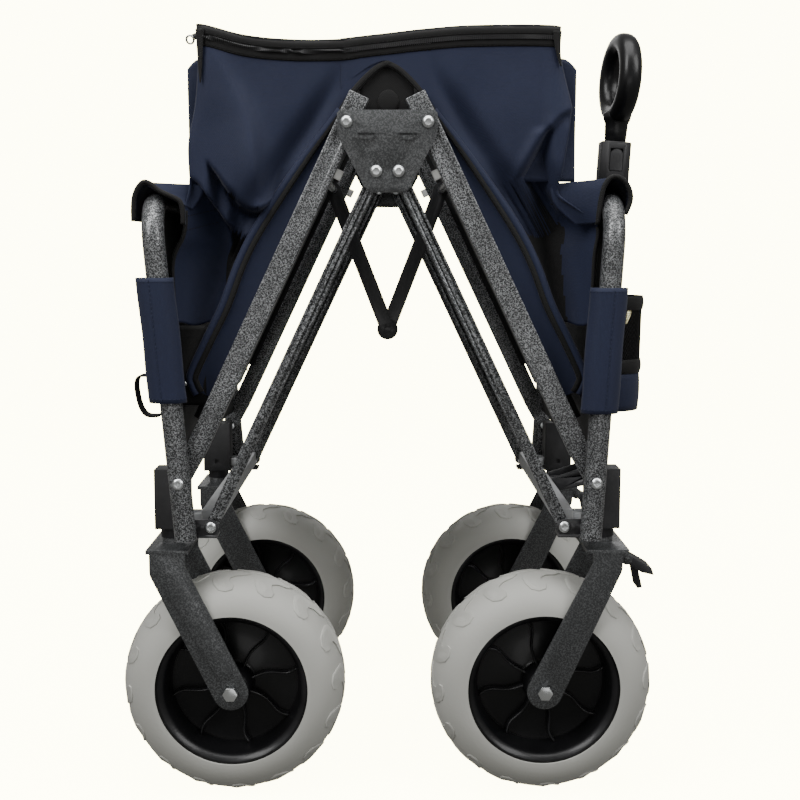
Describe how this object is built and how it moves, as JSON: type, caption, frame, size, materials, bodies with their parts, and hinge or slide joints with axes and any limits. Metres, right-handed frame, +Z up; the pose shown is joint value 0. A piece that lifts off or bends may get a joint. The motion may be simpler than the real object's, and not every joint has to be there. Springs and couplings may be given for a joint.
{
  "type": "folding wagon",
  "caption": "Folding camp wagon standing folded: end frames on balloon-tyred wheels, arms and hub plates, navy fabric body, telescoping loop handle.",
  "frame": {"origin": "on the ground under the middle of the folded wagon", "axes": "+X towards the handle end, +Y across, +Z up"},
  "size_m": [0.5534, 0.4786, 0.8061],
  "materials": {
    "hammered": "hammered grey powder coat",
    "black_steel": "satin black powder coat",
    "grey_beam": "smooth light grey powder coat",
    "black_plastic": "fine-grained moulded",
    "light_plastic": "moulded",
    "zinc": "bright zinc plate",
    "navy_fabric": "coated plain-weave polyester",
    "black_fabric": "woven tape and coated lining",
    "grey_tyre": "matte foamed tread",
    "gloss_black": "glossy moulded"
  },
  "bodies": {
    "rear_frame": {"rear_tube": "hammered", "rear_beam": "grey_beam", "rear_brackets": "black_steel", "rear_housings": "black_plastic", "rear_forks": "hammered", "rear_axles": "zinc", "rear_frame_screws": "zinc", "rear_end_panel": "navy_fabric", "rear_hem": "navy_fabric", "rear_sleeves": "navy_fabric", "strap_loop": "black_fabric"},
    "rear_near_wheel": {"rear_near_tyre": "grey_tyre", "rear_near_rim": "gloss_black"},
    "rear_far_wheel": {"rear_far_tyre": "grey_tyre", "rear_far_rim": "gloss_black"},
    "rear_arms": {"rear_arms": "hammered", "rear_rod": "zinc", "rear_stops": "light_plastic", "rear_board": "black_fabric", "rear_side_panels": "navy_fabric"},
    "rear_links": {"rear_links": "hammered"},
    "hub": {"hub_plates": "hammered", "hub_rivets": "zinc"},
    "front_arms": {"front_arms": "hammered", "front_rod": "zinc", "front_stops": "light_plastic", "front_board": "black_fabric", "front_side_panels": "navy_fabric"},
    "front_frame": {"front_tube": "hammered", "front_beam": "grey_beam", "front_brackets": "black_steel", "front_housings": "black_plastic", "front_frame_screws": "zinc", "front_end_panel": "navy_fabric", "front_hem": "navy_fabric", "front_sleeves": "navy_fabric", "cup_pocket": "navy_fabric", "handle_bracket": "black_steel", "handle_pin": "zinc"},
    "front_links": {"front_links": "hammered"},
    "rear_stay": {"rear_stay": "black_steel"},
    "front_stay": {"front_stay": "black_steel"},
    "near_caster": {"near_caster_fork": "hammered", "near_caster_axle": "zinc"},
    "far_caster": {"far_caster_fork": "hammered", "far_caster_axle": "zinc"},
    "near_brake": {"near_brake_pedal": "black_plastic"},
    "far_brake": {"far_brake_pedal": "black_plastic"},
    "front_near_wheel": {"front_near_tyre": "grey_tyre", "front_near_rim": "gloss_black"},
    "front_far_wheel": {"front_far_tyre": "grey_tyre", "front_far_rim": "gloss_black"},
    "handle": {"handle_pole": "hammered", "handle_collar": "black_plastic"},
    "button": {"handle_button": "black_plastic"},
    "slide": {"handle_slide": "zinc", "grip": "gloss_black"}
  },
  "joints": [
    {"name": "fold", "type": "hinge", "parent": "rear_frame", "child": "rear_arms", "pos_m": [-0.20752, 0, 0.3326], "axis": [0, 1, 0], "range_deg": [0, 64.7]},
    {"name": "hub_level", "type": "hinge", "parent": "rear_arms", "child": "hub", "pos_m": [-0.04, 0, 0.687], "axis": [0, 1, 0], "range_deg": [-64.7, 0]},
    {"name": "front_arm_turn", "type": "hinge", "parent": "hub", "child": "front_arms", "pos_m": [0.04, 0, 0.687], "axis": [0, 1, 0], "range_deg": [-64.7, 0]},
    {"name": "front_frame_level", "type": "hinge", "parent": "front_arms", "child": "front_frame", "pos_m": [0.20752, 0, 0.3326], "axis": [0, 1, 0], "range_deg": [0, 64.7]},
    {"name": "rear_link_turn", "type": "hinge", "parent": "rear_frame", "child": "rear_links", "pos_m": [-0.17852, 0, 0.2851], "axis": [0, 1, 0], "range_deg": [0, 64.7]},
    {"name": "front_link_turn", "type": "hinge", "parent": "front_frame", "child": "front_links", "pos_m": [0.17852, 0, 0.2851], "axis": [0, 1, 0], "range_deg": [-64.7, 0]},
    {"name": "rear_stay_turn", "type": "hinge", "parent": "rear_arms", "child": "rear_stay", "pos_m": [-0.06168, 0, 0.63177], "axis": [0, 1, 0], "range_deg": [-80, 0]},
    {"name": "front_stay_turn", "type": "hinge", "parent": "front_arms", "child": "front_stay", "pos_m": [0.06168, 0, 0.63177], "axis": [0, 1, 0], "range_deg": [0, 80]},
    {"name": "rear_near_wheel_spin", "type": "hinge", "parent": "rear_frame", "child": "rear_near_wheel", "pos_m": [-0.16, -0.178, 0.115], "axis": [0, 1, 0], "continuous": true},
    {"name": "near_caster_swivel", "type": "hinge", "parent": "front_frame", "child": "near_caster", "pos_m": [0.222, -0.178, 0.263], "axis": [0, 0, 1], "continuous": true},
    {"name": "front_near_wheel_spin", "type": "hinge", "parent": "near_caster", "child": "front_near_wheel", "pos_m": [0.16, -0.178, 0.115], "axis": [0, 1, 0], "continuous": true},
    {"name": "near_brake_press", "type": "hinge", "parent": "near_caster", "child": "near_brake", "pos_m": [0.246, -0.178, 0.247], "axis": [0, 1, 0], "range_deg": [0, 14], "stiffness_Nm_per_rad": 0.6},
    {"name": "rear_far_wheel_spin", "type": "hinge", "parent": "rear_frame", "child": "rear_far_wheel", "pos_m": [-0.16, 0.178, 0.115], "axis": [0, 1, 0], "continuous": true},
    {"name": "far_caster_swivel", "type": "hinge", "parent": "front_frame", "child": "far_caster", "pos_m": [0.222, 0.178, 0.263], "axis": [0, 0, 1], "continuous": true},
    {"name": "front_far_wheel_spin", "type": "hinge", "parent": "far_caster", "child": "front_far_wheel", "pos_m": [0.16, 0.178, 0.115], "axis": [0, 1, 0], "continuous": true},
    {"name": "far_brake_press", "type": "hinge", "parent": "far_caster", "child": "far_brake", "pos_m": [0.246, 0.178, 0.247], "axis": [0, 1, 0], "range_deg": [0, 14], "stiffness_Nm_per_rad": 0.6},
    {"name": "handle_swing", "type": "hinge", "parent": "front_frame", "child": "handle", "pos_m": [0.237, 0, 0.304], "axis": [0, 1, 0], "range_deg": [0, 95]},
    {"name": "handle_telescope", "type": "slide", "parent": "handle", "child": "slide", "axis": [0.061, 0, 0.9981], "range_m": [0, 0.25]},
    {"name": "button_press", "type": "slide", "parent": "handle", "child": "button", "axis": [0, 1, 0], "range_m": [0, 0.002], "stiffness_N_per_m": 600}
  ],
  "couplings": [
    {"joint": "hub_level", "follows": "fold", "ratio": -1},
    {"joint": "front_arm_turn", "follows": "fold", "ratio": -1},
    {"joint": "front_frame_level", "follows": "fold", "ratio": 1},
    {"joint": "rear_link_turn", "follows": "fold", "ratio": 1},
    {"joint": "front_link_turn", "follows": "fold", "ratio": -1},
    {"joint": "rear_stay_turn", "follows": "fold", "ratio": -1.2208},
    {"joint": "front_stay_turn", "follows": "fold", "ratio": 1.2208}
  ]
}
